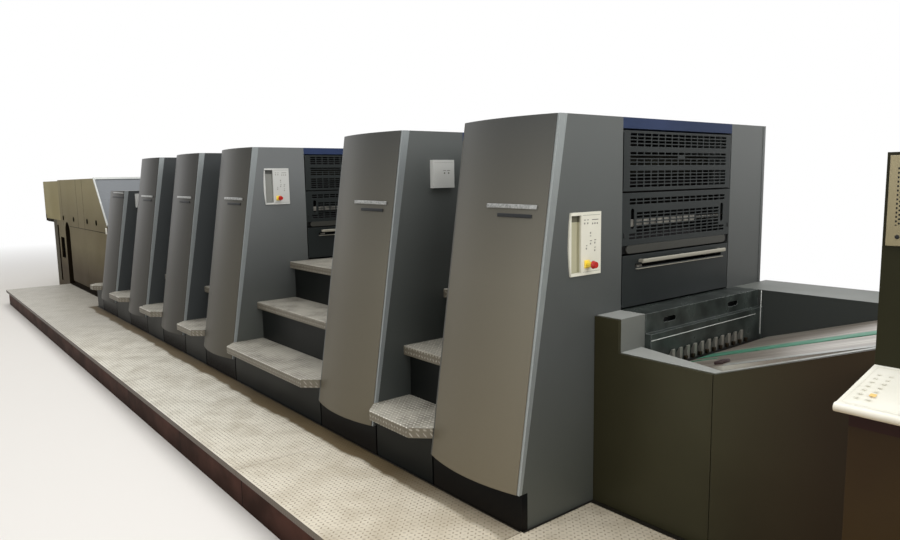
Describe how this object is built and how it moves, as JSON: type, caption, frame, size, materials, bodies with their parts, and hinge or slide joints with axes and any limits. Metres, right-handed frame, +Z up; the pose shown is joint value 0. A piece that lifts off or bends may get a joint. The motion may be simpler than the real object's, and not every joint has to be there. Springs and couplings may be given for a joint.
{
  "type": "offset printing press",
  "caption": "Sheet-fed offset printing press with printing units in line, raised stepped gallery, feeder and delivery; grille guards swing open.",
  "frame": {"origin": "middle of the floor area that the press and its gallery cover, on the floor", "axes": "+X along the line from delivery to feeder, -Y the operator side with the gallery, +Z up"},
  "size_m": [12.7, 2.39, 1.745],
  "materials": {
    "housing_grey": "satin paint",
    "cover_silver": "satin metallic paint",
    "edge_aluminium": "satin",
    "plinth_black": "gloss paint",
    "frame_dark": "satin paint",
    "visor_blue": "satin paint",
    "guard_charcoal": "satin paint",
    "cylinder_steel": "ground",
    "roller_rubber": "matt",
    "treadplate": "rolled pattern",
    "fascia_brown": "matt paint",
    "bearer_steel": "matt primer",
    "cladding_olive": "semi-gloss paint",
    "rim_grey": "satin paint",
    "lay_steel": "bright",
    "board_metal": "brushed",
    "panel_beige": "satin paint",
    "console_brown": "satin paint",
    "control_cream": "satin",
    "delivery_beige": "satin paint",
    "slope_pale": "gloss paint",
    "stop_red": "gloss"
  },
  "bodies": {
    "root": {"operator_towers": "housing_grey", "front_covers": "cover_silver", "edge_strips": "edge_aluminium", "plinths": "plinth_black", "drive_towers": "housing_grey", "gear_side_base": "frame_dark", "unit_bases": "frame_dark", "unit_backs": "frame_dark", "short_unit_body": "frame_dark", "visors": "visor_blue", "middle_guards": "guard_charcoal", "cylinders": "cylinder_steel", "ink_rollers": "roller_rubber", "ink_fountains": "cylinder_steel", "step_bodies": "plinth_black", "treads": "treadplate", "footboards": "treadplate", "gallery_plates": "treadplate", "gallery_fascia": "fascia_brown", "gallery_bearers": "bearer_steel", "well_cladding": "cladding_olive", "well_walls": "rim_grey", "cross_plate": "frame_dark", "front_lays": "lay_steel", "feed_board": "board_metal", "well_drive_side": "rim_grey", "feeder_cabinet": "cladding_olive", "feeder_drive_side": "cladding_olive", "feeder_head": "rim_grey", "perforated_panel": "panel_beige", "console_body": "console_brown", "console_top": "control_cream", "delivery_body": "delivery_beige", "delivery_hood": "delivery_beige", "delivery_end_hood": "delivery_beige", "slope_cover": "slope_pale", "control_boxes": "control_cream", "key_boxes": "control_cream", "stop_buttons": "stop_red"},
    "upper_guard_1": {"upper_guard_1": "guard_charcoal"},
    "lower_guard_1": {"lower_guard_1": "guard_charcoal"},
    "upper_guard_2": {"upper_guard_2": "guard_charcoal"},
    "lower_guard_2": {"lower_guard_2": "guard_charcoal"},
    "upper_guard_3": {"upper_guard_3": "guard_charcoal"},
    "lower_guard_3": {"lower_guard_3": "guard_charcoal"},
    "upper_guard_4": {"upper_guard_4": "guard_charcoal"},
    "lower_guard_4": {"lower_guard_4": "guard_charcoal"},
    "upper_guard_5": {"upper_guard_5": "guard_charcoal"},
    "lower_guard_5": {"lower_guard_5": "guard_charcoal"}
  },
  "joints": [
    {"name": "upper_guard_1_hinge", "type": "hinge", "parent": "root", "child": "upper_guard_1", "pos_m": [3.824, 0.3965, 1.687], "axis": [0, -1, 0], "range_deg": [0, 85]},
    {"name": "lower_guard_1_hinge", "type": "hinge", "parent": "root", "child": "lower_guard_1", "pos_m": [3.824, 0.3965, 0.973], "axis": [0, 1, 0], "range_deg": [0, 70]},
    {"name": "upper_guard_2_hinge", "type": "hinge", "parent": "root", "child": "upper_guard_2", "pos_m": [2.824, 0.3965, 1.687], "axis": [0, -1, 0], "range_deg": [0, 85]},
    {"name": "lower_guard_2_hinge", "type": "hinge", "parent": "root", "child": "lower_guard_2", "pos_m": [2.824, 0.3965, 0.973], "axis": [0, 1, 0], "range_deg": [0, 70]},
    {"name": "upper_guard_3_hinge", "type": "hinge", "parent": "root", "child": "upper_guard_3", "pos_m": [1.091, 0.3965, 1.687], "axis": [0, -1, 0], "range_deg": [0, 85]},
    {"name": "lower_guard_3_hinge", "type": "hinge", "parent": "root", "child": "lower_guard_3", "pos_m": [1.091, 0.3965, 0.973], "axis": [0, 1, 0], "range_deg": [0, 70]},
    {"name": "upper_guard_4_hinge", "type": "hinge", "parent": "root", "child": "upper_guard_4", "pos_m": [0.091, 0.3965, 1.687], "axis": [0, -1, 0], "range_deg": [0, 85]},
    {"name": "lower_guard_4_hinge", "type": "hinge", "parent": "root", "child": "lower_guard_4", "pos_m": [0.091, 0.3965, 0.973], "axis": [0, 1, 0], "range_deg": [0, 70]},
    {"name": "upper_guard_5_hinge", "type": "hinge", "parent": "root", "child": "upper_guard_5", "pos_m": [-0.909, 0.3965, 1.687], "axis": [0, -1, 0], "range_deg": [0, 85]},
    {"name": "lower_guard_5_hinge", "type": "hinge", "parent": "root", "child": "lower_guard_5", "pos_m": [-0.909, 0.3965, 0.973], "axis": [0, 1, 0], "range_deg": [0, 70]}
  ]
}
